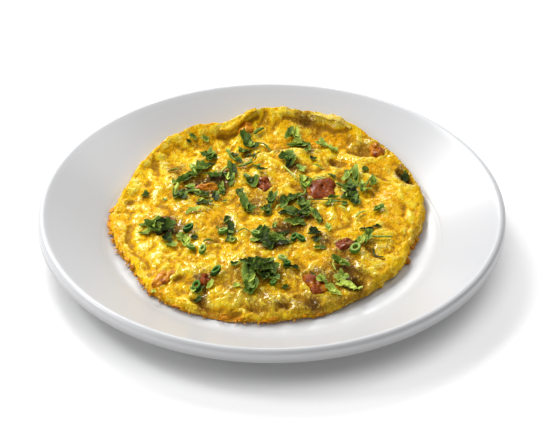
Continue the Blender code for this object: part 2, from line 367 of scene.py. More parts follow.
# Where the egg is coloured unlike the rest, in mm: x, y, half length, half width, turn, strength.
ORANGE_CHEESE = (
    (28, 87, 26, 7, -10, 1.0), (60, 62, 15, 8, -10, 0.8), (66, 25, 9, 16, 10, 0.7),
    (34, -28, 16, 9, -20, 0.6), (-64, 78, 12, 6, 50, 0.2), (-38, 94, 10, 4, 15, 0.6),
    (20, 4, 14, 8, 0, 0.6), (-30, 8, 16, 8, 10, 0.5), (2, 84, 10, 6, 0, 0.4),
    (-88, 0, 4, 22, 0, 0.7), (-66, -58, 8, 5, -40, 0.9), (40, -38, 12, 6, 0, 0.8),
    (-60, 18, 16, 8, 0, 0.4), (70, 5, 8, 12, 0, 0.5),
)
OLIVE = (
    (-2, -74, 22, 9, 0, 1.0), (20, -68, 12, 8, -20, 1.0), (-22, -46, 12, 8, 10, 0.9),
    (54, 82, 9, 7, 40, 1.0), (20, 102, 14, 4, -14, 0.9), (-40, 84, 9, 6, 0, 0.3),
    (68, 58, 8, 5, -30, 0.7), (54, -50, 14, 8, -30, 1.0), (10, -5, 9, 5, 0, 0.6),
    (-64, 68, 10, 6, 60, 0.5), (56, -24, 8, 8, 0, 0.6), (-6, 24, 8, 9, 0, 0.8),
    (-17, 66, 6, 9, 0, 0.5), (-54, 58, 8, 8, 0, 0.6), (-10, -60, 10, 6, 0, 0.8),
    (28, 42, 14, 16, 0, 0.5), (-35, -75, 9, 4, -35, 1.0), (38, -66, 16, 6, 20, 0.9),
    (34, -38, 14, 8, -10, 0.6), (-18, -66, 8, 5, 0, 0.6), (-24, 30, 12, 10, 0, 0.4),
    (80, -10, 6, 14, -10, 0.5), (66, -40, 8, 6, -50, 0.6), (2, 55, 8, 6, 0, 0.5),
)
PALE = (
    (-72, 52, 8, 18, -30, 1.0), (-50, -70, 16, 6, -28, 0.9), (-72, -18, 6, 12, 10, 0.7),
    (38, 99, 10, 3, -25, 1.0), (-30, -88, 8, 4, -10, 0.6), (-36, -36, 8, 6, 0, 0.7),
    (62, -2, 6, 4, 0, 0.5), (76, 36, 8, 6, 60, 0.5), (-22, 103, 12, 4, 28, 0.6),
    (60, -36, 8, 6, 0, 0.4), (-48, -54, 10, 4, -50, 0.6), (70, -20, 5, 6, 0, 0.7),
)
# Brown patches of the egg, together with painted shade beside and under the leaves and in pockets of the top.
BROWNED_AND_SHADED = (
    (-41, 38, 13, 12, 0, 1.2), (-30, 44, 6, 10, 0, 1.0), (-60, -1, 9, 11, 20, 1.1),
    (-46, -8, 5, 7, 0, 0.5), (-26, -2, 3.4, 10, 10, 0.9), (-10, 21, 6, 9, 0, 0.6),
    (-15, 61, 5, 8, 0, 0.4), (6, 25, 7, 7, 0, 0.55), (8, -6, 15, 10, 55, 0.95),
    (-7, -15, 5, 5, 0, 0.7), (2, -22, 8, 4, 0, 0.7), (29, -15, 6, 7, 0, 0.75),
    (42, -38, 9, 12, 0, 0.9), (46, -52, 6, 6, 0, 1.2), (20, 32, 6, 12, 0, 0.9),
    (45, 34, 4, 10, 0, 0.8), (36, 65, 6, 4.5, -20, 0.8), (2, 75, 7, 2.5, 10, 0.5),
    (13, 57, 5, 7, 0, 1.1), (21, 79, 4, 6, 30, 1.0), (20, 102, 8, 5, -20, 0.8),
    (50, 78, 7, 7, 0, 0.5), (-56, 58, 5, 9, 10, 0.55), (-10, -75, 9, 4, 0, 0.5),
    (23, -70, 5, 8, 30, 0.5), (-24, -58, 4, 6, 20, 0.5), (-39, -64, 3, 14, 0, 0.8),
    (58, -20, 5, 10, 10, 0.5), (10, -45, 10, 4, 0, 0.5), (27, -50, 10, 8, -20, 0.8),
    (-37, -50, 8, 6, 0, 0.7), (-82, 27, 3, 4, 0, 0.5), (79, 50, 4, 9, 30, 1.2),
    (42, -20, 8, 7, 20, 0.7), (-5, 40, 7, 10, 0, 0.5), (-34, -14, 4, 5, 0, 0.5),
    (-60, -46, 11, 6, 58, 0.3), (63, 76, 8, 6, 20, 0.6), (-9, -46, 12, 14, 0, 0.6),
    (84, -14, 3, 14, 0, 0.6), (20, 10, 8, 7, 0, 0.6), (50, -61, 16, 5, 35, 0.5), (7, -73, 3, 2, 0, 0.5), (22, -68, 3, 8, 30, 0.3),
    (-4, -66, 4, 3, 0, 0.4),
    (12, -72, 16, 7, 0, 0.35), (70, -43, 5, 5, 0, 0.3),
)


def egg_reach(angle):
    """How far the outline is from the centre, in mm, by a smooth closed curve."""
    count = len(EGG_REACH)
    place = (np.degrees(angle) % 360.0) / 360.0 * count
    index = np.floor(place).astype(int)
    part = place - index
    reach = np.array(EGG_REACH)
    before, start, end, after = [reach[(index + shift) % count] for shift in (-1, 0, 1, 2)]
    value = start + (end - start) * part ** 2 * (3 - 2 * part)
    value += (end - before) / 2 * part * (1 - part) ** 2
    return value - (after - start) / 2 * part ** 2 * (1 - part)


def ripple(x, y, size, seed):
    """Smooth random relief between about -1 and 1, whose lumps are about size across."""
    angles = np.random.default_rng(seed).uniform(0, 2 * math.pi, (64, 64))
    column, row = np.floor(x / size).astype(int), np.floor(y / size).astype(int)
    across, up = x / size - column, y / size - row
    total = 0.0
    for i in (0, 1):
        for j in (0, 1):
            angle = angles[(row + j) % 64, (column + i) % 64]
            slope = np.cos(angle) * (across - i) + np.sin(angle) * (up - j)
            near_x = across if i else 1 - across
            near_y = up if j else 1 - up
            total = total + slope * (near_x ** 2 * (3 - 2 * near_x)) * (near_y ** 2 * (3 - 2 * near_y))
    return 1.6 * total


def bumps(x, y, spots):
    """The sum of soft bumps: x, y, half length, half width, turn in degrees and rise of each."""
    total = np.zeros(np.shape(x))
    for spot_x, spot_y, half_length, half_width, turn, rise in spots:
        cos_turn, sin_turn = math.cos(math.radians(turn)), math.sin(math.radians(turn))
        along = ((x - spot_x) * cos_turn + (y - spot_y) * sin_turn) / half_length
        across = ((y - spot_y) * cos_turn - (x - spot_x) * sin_turn) / half_width
        total += rise * np.exp(-along ** 2 - across ** 2)
    return total


def beside(x, y, points):
    """Distance from a line through points, in mm, and which side of it: above 0 on its left."""
    nearest = np.full(np.shape(x), 1e9)
    side = np.zeros(np.shape(x))
    for (x0, y0), (x1, y1) in zip(points, points[1:]):
        run_x, run_y = x1 - x0, y1 - y0
        length = math.hypot(run_x, run_y)
        part = np.clip(((x - x0) * run_x + (y - y0) * run_y) / length ** 2, 0, 1)
        away_x, away_y = x - x0 - part * run_x, y - y0 - part * run_y
        distance = np.hypot(away_x, away_y)
        closer = distance < nearest
        nearest = np.where(closer, distance, nearest)
        side = np.where(closer, (run_x * away_y - run_y * away_x) / length, side)
    return nearest, side


def creases(x, y):
    """Depth below the surface from all the creases, and the step across each."""
    wobble_x = x + 1.2 * ripple(x, y, 6, 71)
    wobble_y = y + 1.2 * ripple(x, y, 6, 72)
    depth, step = np.zeros(np.shape(x)), np.zeros(np.shape(x))
    for points, width, deep, higher in CREASES:
        distance, side = beside(wobble_x, wobble_y, points)
        depth += deep * np.exp(-(distance / width) ** 2)
        step += higher * np.tanh(side / width) * np.exp(-(distance / (5 * width)) ** 2)
    return depth, step


def puffs(x, y, size, seed):
    """Rounded lumps about size across, with soft creases between them."""
    return np.sqrt(ripple(x, y, size, seed) ** 2 + 0.006) - 0.35


def lumps(x, y, size, seed):
    """Rounded lumps about size across that crowd together: 0 at their tops, lower between them."""
    draw = np.random.default_rng(seed)
    middles, rises = draw.uniform(0.05, 0.95, (64, 64, 2)), draw.uniform(0.0, 2.6, (64, 64))
    column, row = np.floor(x / size).astype(int), np.floor(y / size).astype(int)
    total = 0.0
    for i in (-1, 0, 1):
        for j in (-1, 0, 1):
            spot = ((row + j) % 64, (column + i) % 64)
            away_x = x / size - column - i - middles[spot][..., 0]
            away_y = y / size - row - j - middles[spot][..., 1]
            total = total + np.exp(rises[spot] - 9 * (away_x ** 2 + away_y ** 2))
    return 0.5 * np.tanh((np.log(total) / 9 - 0.12) / 0.5)


def curds(x, y):
    """Relief of set egg, in mm: lumps in five sizes, calmer where cheese has melted over."""
    warp_x = x + 3.0 * ripple(x, y, 17, 11) + 1.0 * ripple(x, y, 5, 18)
    warp_y = (y + 3.0 * ripple(x, y, 17, 12) + 1.0 * ripple(x, y, 5, 19)) * 0.7
    calm = 1 - 0.45 * np.clip(bumps(x, y, ORANGE_CHEESE), 0, 1)
    broad = 0.9 * ripple(x, y, 26, 13) + 2.9 * lumps(warp_x, warp_y, 14, 14)
    small = 1.9 * lumps(warp_x, warp_y, 7.5, 15) + 1.3 * lumps(warp_x, warp_y, 4.2, 16)
    return broad + calm * (small + 0.7 * lumps(x, 0.7 * y, 2.5, 17))


def tomato_banks(x, y):
    """Egg that set against the sides of the tomato, in mm, higher in some places than others."""
    bank = np.zeros(np.shape(x))
    uneven = 1.0 + 1.1 * ripple(x, y, 6, 61)
    for tomato_x, tomato_y, half_length, half_width, half_thickness, turn in TOMATO_PLACES.values():
        cos_turn, sin_turn = math.cos(math.radians(turn)), math.sin(math.radians(turn))
        along = ((x - tomato_x) * cos_turn + (y - tomato_y) * sin_turn) / half_length
        across = ((y - tomato_y) * cos_turn - (x - tomato_x) * sin_turn) / half_width
        bank += 0.7 * uneven * np.exp(-((np.hypot(along, across) - 1.08) / 0.26) ** 2)
    return bank


def egg_relief(x, y):
    """How far the top rises above its smooth shape, in mm."""
    depth, step = creases(x, y)
    pits = bumps(x, y, [(px, py, r, r, 0, deep) for px, py, r, deep in PITS])
    return bumps(x, y, SWELLS) + curds(x, y) + tomato_banks(x, y) + step - depth - pits


def egg_thickness(x, y):
    """Thickness of the omelette at points of its top, in mm."""
    away_x, away_y = x - EGG_CENTRE[0], y - EGG_CENTRE[1]
    reach = np.hypot(away_x, away_y) / egg_reach(np.arctan2(away_y, away_x))
    edge = np.clip((reach - EDGE_FALL_START) / (1 - EDGE_FALL_START), 0, 1)
    thin_side = 0.5 + 0.5 * np.cos(np.arctan2(away_y, away_x) - THIN_SIDE_FACING)
    flat = EGG_THICKNESS - (EDGE_FALL + THIN_SIDE_FALL * thin_side) * edge ** 1.5
    return flat + egg_relief(x, y)


def egg_top(x, y):
    """Height of the top, in mm."""
    x, y = np.asarray(x, float), np.asarray(y, float)
    return plate_top(np.hypot(x, y)) + GAP + egg_thickness(x, y)


def square_to_disc(cells):
    """Points of a square grid laid on a disc of radius 1, in nearly equal cells: radius, angle."""
    line = np.linspace(-1, 1, cells + 1)
    a, b = np.meshgrid(line, line)
    wide = np.abs(a) > np.abs(b)
    radius = np.where(wide, a, b)
    ratio = np.where(wide, b / np.where(wide, a, 1), a / np.where(wide | (b == 0), 1, b))
    angle = np.where(wide, math.pi / 4 * ratio, math.pi / 2 - math.pi / 4 * ratio)
    return np.abs(radius), np.where(radius < 0, angle + math.pi, angle)


def side_start(angle):
    """Where the side begins, as a share of the reach: the brow of the edge wanders in and out."""
    steeper = REAR_BROW * np.clip(np.sin(angle), 0, 1) ** 0.5
    return SIDE_START + steeper + 0.010 * ripple(angle * 90, angle * 0, 13, 33)


def square_border(cells):
    """Indices of the grid's border, anticlockwise, from the corner at -X -Y."""
    n = cells + 1
    south = list(range(0, cells))
    east = [row * n + cells for row in range(cells)]
    north = [cells * n + column for column in range(cells, 0, -1)]
    west = [row * n for row in range(cells, 0, -1)]
    return np.array(south + east + north + west)


def omelette_mesh():
    """The top's grid, then the side's rings and the underside's, each as long as its border."""
    radius, angle = square_to_disc(EGG_CELLS)
    distance = side_start(angle) * radius * egg_reach(angle)
    x = (EGG_CENTRE[0] + distance * np.cos(angle)).ravel()
    y = (EGG_CENTRE[1] + distance * np.sin(angle)).ravel()
    points = [np.stack([x, y, egg_top(x, y)], 1)]
    border = square_border(EGG_CELLS)
    angle = angle.ravel()[border]
    full, start = egg_reach(angle), side_start(angle)
    turns = np.radians(np.linspace(90, 0, SIDE_RINGS)[1:])
    profile = [(math.cos(a) ** 0.9, SIDE_BULGE + (1 - SIDE_BULGE) * math.sin(a) ** 0.9) for a in turns]
    profile += [(0.97, 0.16), (0.85, 0.07), (0.62, 0.0)]
    profile += [((reach - SIDE_START) / (1 - SIDE_START), 0.0) for reach in UNDER_REACHES]
    for out, level in profile:
        along = angle * full
        rough = 1.3 * ripple(along, level * 9 + 50, 6, 31) + 1.0 * puffs(along, level * 9, 3, 32)
        distance = (start + (1 - start) * out) * full + rough * max(out, 0) ** 2
        x = EGG_CENTRE[0] + distance * np.cos(angle)
        y = EGG_CENTRE[1] + distance * np.sin(angle)
        under = plate_top(np.hypot(x, y)) + GAP
        points.append(np.stack([x, y, under + level * egg_thickness(x, y)], 1))
    verts = np.concatenate(points + [[[*EGG_CENTRE, FLOOR_TOP + GAP]]]) * MM

    n = EGG_CELLS + 1
    corner = (np.arange(EGG_CELLS)[:, None] * n + np.arange(EGG_CELLS)).ravel()
    faces = [np.stack([corner, corner + 1, corner + n + 1, corner + n], 1)]
    count = len(border)
    rings = [border] + [n * n + ring * count + np.arange(count) for ring in range(len(points) - 1)]
    for upper, lower in zip(rings, rings[1:]):
        faces.append(np.stack([upper, lower, np.roll(lower, -1), np.roll(upper, -1)], 1))
    quads = np.concatenate(faces).tolist()
    last = rings[-1]
    centre = len(verts) - 1
    fan = [(int(a), centre, int(b)) for a, b in zip(last, np.roll(last, -1))]
    mesh = bpy.data.meshes.new("omelette_egg")
    mesh.from_pydata(verts.tolist(), [], quads + fan)
    mesh.shade_smooth()
    return mesh, verts / MM


def blurred(grid, reach):
    """A square grid averaged over the cells within reach, first along its rows, then its columns."""
    for axis in (0, 1):
        padded = np.pad(grid, [(reach + 1, reach) if a == axis else (0, 0) for a in (0, 1)], "edge")
        sums = np.cumsum(padded, axis)
        size = 2 * reach + 1
        grid = (np.take(sums, range(size, sums.shape[axis]), axis)
                - np.take(sums, range(0, sums.shape[axis] - size), axis)) / size
    return grid


def add_attribute(mesh, name, values):
    layer = mesh.attributes.new(name, "FLOAT", "POINT")
    layer.data.foreach_set("value", np.asarray(values, np.float32))


def colour_egg(mesh, points):
    """Stores on the mesh how low the egg is, where it is brown or painted with shade, olive, pale or orange, and
    its crust.
    """
    x, y, z = points.T
    n = EGG_CELLS + 1
    height = egg_relief(x[:n * n], y[:n * n]).reshape(n, n)
    dips = []
    for reach, usual in ((4, 0.25), (12, 1.1)):
        dip = 0.6 * ripple(x + z, y - z, 2 * reach, 43)
        dip[:n * n] = ((blurred(blurred(height, reach), reach) - height) / usual).ravel()
        dips.append(dip)
    blot_x, blot_y = x + 2.5 * ripple(x, y, 8, 41), y + 2.5 * ripple(x, y, 8, 42)
    add_attribute(mesh, "dip", dips[0])
    add_attribute(mesh, "hollow", dips[1])
    for name, spots in (("orange", ORANGE_CHEESE), ("olive", OLIVE),
                        ("pale", PALE), ("browned_and_shaded", BROWNED_AND_SHADED)):
        add_attribute(mesh, name, np.clip(bumps(blot_x, blot_y, spots), 0, 1.2))
    away_x, away_y = x - EGG_CENTRE[0], y - EGG_CENTRE[1]
    angle = np.degrees(np.arctan2(away_y, away_x)) % 360
    level = (z - plate_top(np.hypot(x, y)) - GAP) / 9.0
    side = np.clip((0.55 - level) / 0.5, 0, 1) * (np.arange(len(x)) >= n * n)
    front = np.exp(-((angle - 255) / 32) ** 2) + 0.6 * np.exp(-((angle - 190) / 30) ** 2)
    front += 0.7 * np.exp(-((angle - 350) / 14) ** 2) + 0.25
    add_attribute(mesh, "crust", side * np.clip(front, 0, 1))


def egg_finish():
    """Set egg and melted cheese: yellow, olive and brown in places, wet, with painted shade and glints."""
    egg = Finish("egg_and_cheese")
    dip, hollow = egg.attribute("dip"), egg.attribute("hollow")
    grain = egg.noise(1.3, 3.0, 0.7, long=1.5).ramp(0.3, 0.7)
    speckle = egg.noise(2.8, 3.0, 0.6, long=1.5).ramp(0.3, 0.7)
    blotch = egg.noise(6, 3.0, 0.6, long=1.5)
    fine = 0.75 * (grain - 0.5) + 0.4 * (speckle - 0.5)
    colour = egg.mix(blotch.ramp(0.38, 0.62), (0.97, 0.585, 0.0), (0.94, 0.49, 0.0))
    colour = egg.mix(egg.attribute("orange") * 0.9, colour, (0.95, 0.41, 0.0))
    # Painted shade: darker orange in the dips and hollows, and where the random grain is dark.
    low = (0.7 * dip + 0.5 * hollow - 1.0 * fine).ramp(-0.2, 1.2)
    colour = egg.mix(low * 0.7, colour, (0.68, 0.285, 0.0))
    pale = egg.attribute("pale")
    # Paler yellow on the tops of the lumps, away from the dips and hollows: painted light. The random flecks and
    # the pale egg in it are the egg's own tone.
    high = (1.6 * fine + 0.4 * (blotch - 0.5) - 0.6 * dip - 0.3 * hollow + 0.4 * pale
            - 0.3 * egg.attribute("orange")).ramp(0.0, 1.0)
    colour = egg.mix(high * 0.75, colour, (1.0, 0.77, 0.03))
    colour = egg.mix(pale.ramp(1.2, 1.6) * 0.7, colour, (0.92, 0.80, 0.30))
    olive = egg.attribute("olive") * (0.9 - 0.5 * speckle)
    colour = egg.mix(olive.ramp(0.1, 0.9) * 0.75, colour, (0.40, 0.28, 0.03))
    # Painted shade: brown in the deep hollows.
    deep = (hollow + 0.3 * dip - 0.8 * fine).ramp(0.3, 1.6)
    colour = egg.mix(deep * 0.75, colour, (0.36, 0.18, 0.012))
    # Brown patches and painted shade under the leaves and in pockets: brown, then nearly black where strongest.
    browned_and_shaded = egg.attribute("browned_and_shaded") + 0.6 * (blotch - 0.5) - 0.5 * fine
    colour = egg.mix(browned_and_shaded.ramp(0.0, 0.6) * 0.85, colour, (0.40, 0.19, 0.008))
    colour = egg.mix(browned_and_shaded.ramp(0.35, 1.0) * 0.9, colour, (0.10, 0.045, 0.010))
    pores = egg.noise(0.8, 1.0, long=1.5).ramp(0.62, 0.70) * egg.noise(9, 2.0).ramp(0.4, 0.6)
    colour = egg.mix(pores * 0.6, colour, (0.20, 0.10, 0.012))
    crust = egg.attribute("crust") + 0.9 * (blotch - 0.5) - 0.6 * fine
    colour = egg.mix(crust.ramp(0.2, 0.9) * 0.85, colour, (0.52, 0.20, 0.008))
    # Painted glints: cream flecks on the lumps, fewest in the dips.
    painted_glints = (egg.noise(1.6, 1.0, long=1.4) - 0.025 * dip).ramp(0.60, 0.72)
    colour = egg.mix(painted_glints * 0.5, colour, (1.0, 0.84, 0.18))
    wet = (0.4 + fine - 0.3 * dip - 0.2 * hollow).ramp(0.3, 0.8)
    return egg.surface(
        base_color=colour,
        roughness=0.5 - 0.2 * wet,
        normal=egg.bump(grain, 0.36, 0.9, egg.bump(speckle, 0.40, 0.8)),
        specular_ior_level=0.05,
        subsurface_weight=0.08,
        subsurface_radius=(1.0, 0.45, 0.08),
        subsurface_scale=0.0014,
        coat_weight=0.02 + 0.5 * wet,
        coat_roughness=0.10,
        ior=1.4,
    )


egg_mesh, egg_points = omelette_mesh()
colour_egg(egg_mesh, egg_points)
omelette = add_piece("omelette_egg", egg_mesh, egg_finish())
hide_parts("omelette")

# ---------------------------------------------------------------------------------------------
# The lips: narrow strips of the egg's own edge, turned up and folded back over the far side of
# the top as the omelette left the pan. Each is a flattened roll that lies along the edge.
# ---------------------------------------------------------------------------------------------
# Each lip's flatness and how pale it is, and the points that its middle runs through and its
# width at each, in mm.
LIPS = (
    (0.6, 0.4, ((-33, 93.2, 0.8), (-29, 93.9, 2.6), (-25.5, 94.8, 5.0), (-22, 96.8, 5.2),
                (-18, 100.4, 4.2), (-13.5, 104.6, 3.8), (-9.5, 107.2, 2.0))),
    (0.4, 1.4, ((25, 103.4, 1.0), (30, 102.4, 3.6), (36.5, 99.8, 4.8), (42.5, 96.8, 4.0),
                (48, 93.0, 1.2))),
)


def smooth_path(corners, steps):
    """Evenly spread points along a smooth curve through the corners."""
    corners = np.array(corners, float)
    ends = np.concatenate([[2 * corners[0] - corners[1]], corners, [2 * corners[-1] - corners[-2]]])
    path = []
    for before, start, end, after in zip(ends, ends[1:], ends[2:], ends[3:]):
        part = np.arange(steps)[:, None] / steps
        bend = 2 * start + part * (end - before)
        bend = bend + part ** 2 * (2 * before - 5 * start + 4 * end - after)
        path.append(0.5 * (bend + part ** 3 * (3 * start - before - 3 * end + after)))
    return np.concatenate(path + [corners[-1:]])


def swept_roll(path, widths, flatness, around):
    """Points and faces of a closed roll along a path, in mm, flattened by flatness."""
    ahead = np.gradient(path, axis=0)
    ahead /= np.linalg.norm(ahead, axis=1)[:, None]
    side = np.cross(ahead, (0.0, 0.0, 1.0))
    side /= np.maximum(np.linalg.norm(side, axis=1), 1e-6)[:, None]
    up = np.cross(side, ahead)
    angle = np.arange(around) * 2 * math.pi / around
    level = flatness * np.sin(angle)
    ring = np.cos(angle)[None, :, None] * side[:, None] + level[None, :, None] * up[:, None]
    points = path[:, None] + ring * (np.asarray(widths) / 2)[:, None, None]
    grid = np.arange(len(path) * around).reshape(len(path), around)
    quads = np.stack([grid[:-1], np.roll(grid[:-1], -1, 1), np.roll(grid[1:], -1, 1), grid[1:]], -1)
    return points.reshape(-1, 3), quads.reshape(-1, 4).tolist() + [grid[0, ::-1].tolist(), grid[-1].tolist()]


def lips_mesh():
    """The rolls, lying on the top and made uneven by the same sort of lumps."""
    points, faces, pale = [], [], []
    for flatness, paleness, corners in LIPS:
        line = smooth_path(corners, 9)
        height = egg_top(line[:, 0], line[:, 1] - 1.0) + 0.7
        smooth = np.convolve(np.pad(height, 6, "edge"), np.ones(13) / 13, "valid")
        path = np.column_stack([line[:, :2], smooth])
        roll, roll_faces = swept_roll(path, line[:, 2], flatness, 28)
        along, across = roll[:, 0] + roll[:, 2], roll[:, 1] - roll[:, 2]
        roll += (0.4 * ripple(along, across, 2.6, 81) + 0.4 * ripple(along, across, 6, 83))[:, None]
        faces += [[corner + sum(map(len, points)) for corner in face] for face in roll_faces]
        points.append(roll)
        pale.append(np.full(len(roll), paleness))
    points = np.concatenate(points)
    mesh = bpy.data.meshes.new("egg_lips")
    mesh.from_pydata((points * MM).tolist(), [], faces)
    mesh.shade_smooth()
    add_attribute(mesh, "pale", np.concatenate(pale))
    add_attribute(mesh, "dip", 0.6 * ripple(points[:, 0], points[:, 1], 4, 82))
    return mesh


lips = add_piece("egg_lips", lips_mesh(), omelette.data.materials[0])

# ---------------------------------------------------------------------------------------------
# The tomato: wedges and diced pieces, cooked soft in the egg, with the skin dark and shining.
# Each is a fine lumpy mesh in the place and size of its own solid, sunk in the egg.
# ---------------------------------------------------------------------------------------------
# How orange the flesh of each is, from 0 to 1, and the height of its wrinkles in mm.
TOMATO_LOOKS = {
    "tomato_large": (0.2, 0.35),
    "tomato_middle": (0.1, 0.8),
    "tomato_by_fold": (0.75, 0.4),
    "tomato_right": (0.1, 0.9),
    "tomato_near": (0.35, 0.8),
    "tomato_near_left": (0.6, 0.7),
    "tomato_strip": (0.0, 0.6),
    "tomato_far_right": (0.5, 0.9),
    "tomato_browned": (0.6, 0.6),
    "tomato_under_leaf": (0.0, 0.6),
}


def tomato_finish():
    """Cooked tomato: dark red skin, orange flesh in patches, wrinkled and wet."""
    tomato = Finish("cooked_tomato")
    patch = tomato.noise(6, 2.0, 0.5)
    fibre = tomato.noise(1.8, 2.0, 0.5)
    flesh = (tomato.attribute("flesh") + 1.6 * (patch - 0.5) + 0.5 * (fibre - 0.5)).ramp(0.2, 0.8)
    colour = tomato.mix(fibre.ramp(0.3, 0.7), (0.15, 0.020, 0.001), (0.34, 0.065, 0.002))
    colour = tomato.mix(flesh * 0.9, colour, (0.80, 0.31, 0.006))
    return tomato.surface(
        base_color=colour,
        roughness=0.25 + 0.25 * fibre,
        normal=tomato.bump(fibre, 0.5, 0.6),
        subsurface_weight=0.1,
        subsurface_radius=(1.0, 0.25, 0.05),
        subsurface_scale=0.002,
        specular_ior_level=0.1,
        coat_weight=0.12 + 0.6 * patch.ramp(0.5, 0.7),
        coat_roughness=0.1,
    )


def tomato_mesh(name, size, turn, place, flesh, wrinkle, seed):
    """A wrinkled chunk of the half sizes given, in mm, turned about its own middle."""
    shape = bmesh.new()
    bmesh.ops.create_icosphere(shape, subdivisions=6, radius=1.0)
    co = np.array([v.co for v in shape.verts])
    angle = np.arctan2(co[:, 1], co[:, 0])
    pull = 1.0 - 0.10 * np.cos(angle) + 0.05 * np.cos(3 * angle + size[0])
    pull += 0.07 * np.cos(5 * angle + seed) + 0.04 * np.cos(8 * angle + 2 * seed)
    square = 1.0 / np.maximum((np.abs(co) ** 3).sum(1), 0.5) ** 0.2
    x, y = co[:, 0] * size[0] * pull * square, co[:, 1] * size[1] * pull * square
    creased = puffs(x * 0.6, y, 4.5, seed) + 0.5 * puffs(x, y, 2.2, seed + 1)
    up = np.clip(co[:, 2], 0, 1) ** 0.5
    z = co[:, 2] * size[2] * square * (1 - 0.25 * np.cos(2 * angle + seed)) + wrinkle * creased * up
    cos_turn, sin_turn = math.cos(math.radians(turn)), math.sin(math.radians(turn))
    spun = np.stack([x * cos_turn - y * sin_turn, x * sin_turn + y * cos_turn, z], 1) + place
    for vert, spot in zip(shape.verts, spun * MM):
        vert.co = spot
    mesh = bpy.data.meshes.new(name)
    shape.to_mesh(mesh)
    shape.free()
    mesh.shade_smooth()
    add_attribute(mesh, "flesh", np.full(len(co), flesh))
    return mesh


tomato_skin = tomato_finish()
for number, (name, tomato) in enumerate(TOMATO_PLACES.items()):
    x, y, half_length, half_width, half_thickness, turn = tomato
    low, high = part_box(name)
    middle = (low.z + high.z) / 2 / MM - 0.1
    mesh = tomato_mesh(name + "_cooked", (half_length, half_width, half_thickness), turn,
                       (x, y, middle), *TOMATO_LOOKS[name], 200 + 5 * number)
    piece = add_piece(name + "_cooked", mesh, tomato_skin)
    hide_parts(name)

